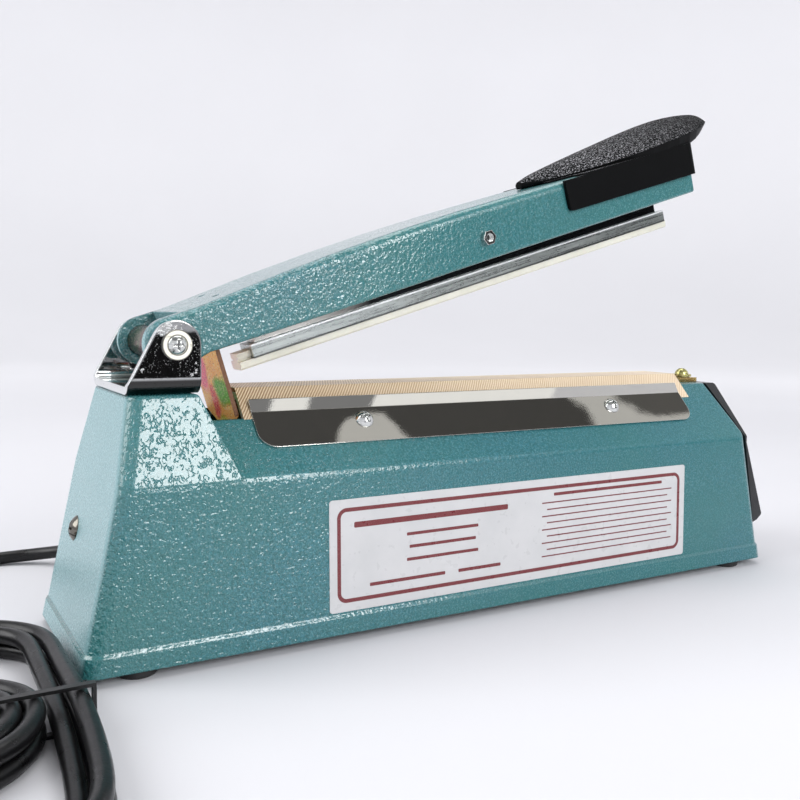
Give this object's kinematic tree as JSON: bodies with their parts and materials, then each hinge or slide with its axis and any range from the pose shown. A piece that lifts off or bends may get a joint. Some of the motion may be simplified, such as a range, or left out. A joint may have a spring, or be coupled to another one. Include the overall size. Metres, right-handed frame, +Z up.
{
  "type": "impulse film sealer",
  "caption": "Hand-operated table-top impulse heat sealer: lever arm with a press bar that closes on a heated bed, timer knob, mains cord in a tied hank.",
  "frame": {"origin": "centre of the machine's bounding box in plan, at the underside of the rubber feet, without the cord", "axes": "+X along the machine from the hinge end to the timer-knob end, +Z up, the operator's side is -Y"},
  "size_m": [0.438, 0.2683, 0.2112],
  "materials": {
    "teal_paint": "glossy hammertone enamel",
    "zinc_steel": "zinc plated",
    "black_rubber": "matt",
    "chrome": "bright chrome",
    "black_plastic": "fine grain",
    "phenolic": "phenolic board",
    "glass_cloth": "PTFE-coated glass cloth",
    "nichrome": "rolled ribbon",
    "polished_steel": "mirror-polished stainless sheet",
    "brass": "plain",
    "label_paper": "printed foil label",
    "red_lens": "clear red lens",
    "red_plastic": "moulded",
    "board": "paper laminate circuit board",
    "core_steel": "varnished laminations",
    "winding": "taped winding",
    "chromate_steel": "yellow iridescent chromate",
    "spring_steel": "drawn wire",
    "aluminium": "satin anodised",
    "silicone": "translucent",
    "white_plastic": "nylon",
    "cord_sheath": "PVC sheath"
  },
  "bodies": {
    "base": {"base_plate": "zinc_steel", "bed_glass_tape": "glass_cloth", "bracket_screws": "zinc_steel", "cord_hank": "cord_sheath", "cord_lead": "cord_sheath", "cord_tail": "cord_sheath", "cord_tie": "white_plastic", "element_anchor": "phenolic", "end_panel": "black_plastic", "end_screw": "chrome", "feet_screws": "zinc_steel", "heating_element": "nichrome", "hinge_bracket": "chrome", "housing": "teal_paint", "indicator_lamp": "red_lens", "microswitch": "black_plastic", "panel_screws": "zinc_steel", "pivot_screws": "zinc_steel", "pivot_spacers": "black_plastic", "pivot_tube": "zinc_steel", "pivot_washers": "zinc_steel", "plug_blades": "brass", "potentiometer": "zinc_steel", "power_plug": "cord_sheath", "ptfe_cloth": "glass_cloth", "rating_label": "label_paper", "return_spring": "spring_steel", "rubber_feet": "black_rubber", "sealing_bed": "phenolic", "side_plate_front": "polished_steel", "side_plate_rear": "polished_steel", "side_plate_screws": "zinc_steel", "spring_post": "zinc_steel", "strain_relief": "black_rubber", "switch_bracket": "zinc_steel", "switch_screws": "zinc_steel", "terminal_block": "brass", "terminal_screw": "brass", "terminal_washer": "brass", "timer_board": "board", "timer_components": "black_plastic", "transformer_coil": "winding", "transformer_core": "core_steel", "transformer_frame": "zinc_steel", "transformer_screws": "zinc_steel"},
    "arm": {"arm_casting": "teal_paint", "handle_grip": "black_plastic", "handle_screws": "zinc_steel", "press_bar_pin": "chrome", "lever_plate": "chromate_steel", "lever_screws": "chromate_steel"},
    "press_bar": {"press_bar": "aluminium", "silicone_strip": "silicone"},
    "knob": {"timer_knob": "black_plastic", "potentiometer_shaft": "zinc_steel"},
    "plunger": {"microswitch_plunger": "red_plastic"}
  },
  "joints": [
    {"name": "arm_hinge", "type": "hinge", "parent": "base", "child": "arm", "pos_m": [-0.1278, 0, 0.1048], "axis": [0, 1, 0], "range_deg": [0, 15.5], "stiffness_Nm_per_rad": 2, "springref_deg": -34.38, "deforming": ["return_spring"]},
    {"name": "press_bar_rock", "type": "hinge", "parent": "arm", "child": "press_bar", "pos_m": [-0.00218, 0, 0.14576], "axis": [0, 1, 0], "range_deg": [-2, 2]},
    {"name": "knob_turn", "type": "hinge", "parent": "base", "child": "knob", "pos_m": [0.14505, 0, 0.039], "axis": [0.9375, 0, 0.348], "range_deg": [0, 280]},
    {"name": "plunger_press", "type": "slide", "parent": "base", "child": "plunger", "axis": [-1, 0, 0], "range_m": [0, 0.0015], "stiffness_N_per_m": 600, "springref_m": -0.002}
  ],
  "couplings": [
    {"joint": "press_bar_rock", "follows": "arm_hinge", "ratio": 0.084}
  ]
}
